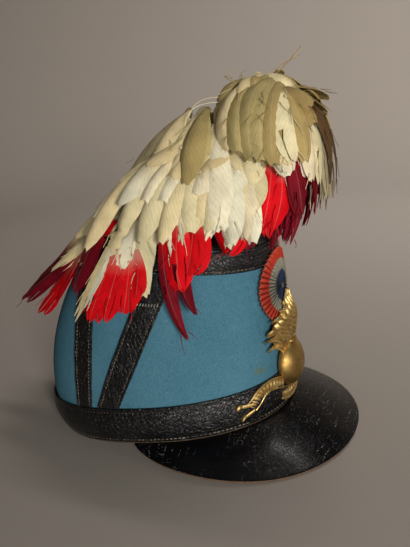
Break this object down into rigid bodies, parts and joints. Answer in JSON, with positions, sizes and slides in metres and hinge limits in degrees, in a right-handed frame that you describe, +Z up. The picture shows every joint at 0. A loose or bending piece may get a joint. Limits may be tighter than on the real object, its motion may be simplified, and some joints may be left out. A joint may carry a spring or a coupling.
{
  "type": "shako hat",
  "caption": "Cloth-covered shako with leather bands, side straps, leather peak, pleated cockade, stamped brass grenade badge and a drooping feather plume",
  "frame": {"origin": "on the surface that the hat rests on, at the middle of its bounding box", "axes": "+Z up, -Y the hat's front where the peak is, +X the wearer's left"},
  "size_m": [0.1932, 0.2944, 0.266],
  "materials": {
    "blue_cloth": "matt",
    "black_leather": "satin",
    "patent_leather": "glossy",
    "crown_leather": "satin",
    "pleated_ribbon": "matt",
    "brass": "aged",
    "cream_feather": "matt"
  },
  "bodies": {
    "root": {"body_shell": "blue_cloth", "base_band": "black_leather", "top_band": "black_leather", "crown_top": "crown_leather", "left_front_strap": "black_leather", "left_back_strap": "black_leather", "right_front_strap": "black_leather", "right_back_strap": "black_leather", "peak": "patent_leather", "cockade": "pleated_ribbon", "grenade_badge": "brass", "plume_holder": "black_leather", "plume": "cream_feather"}
  },
  "joints": []
}
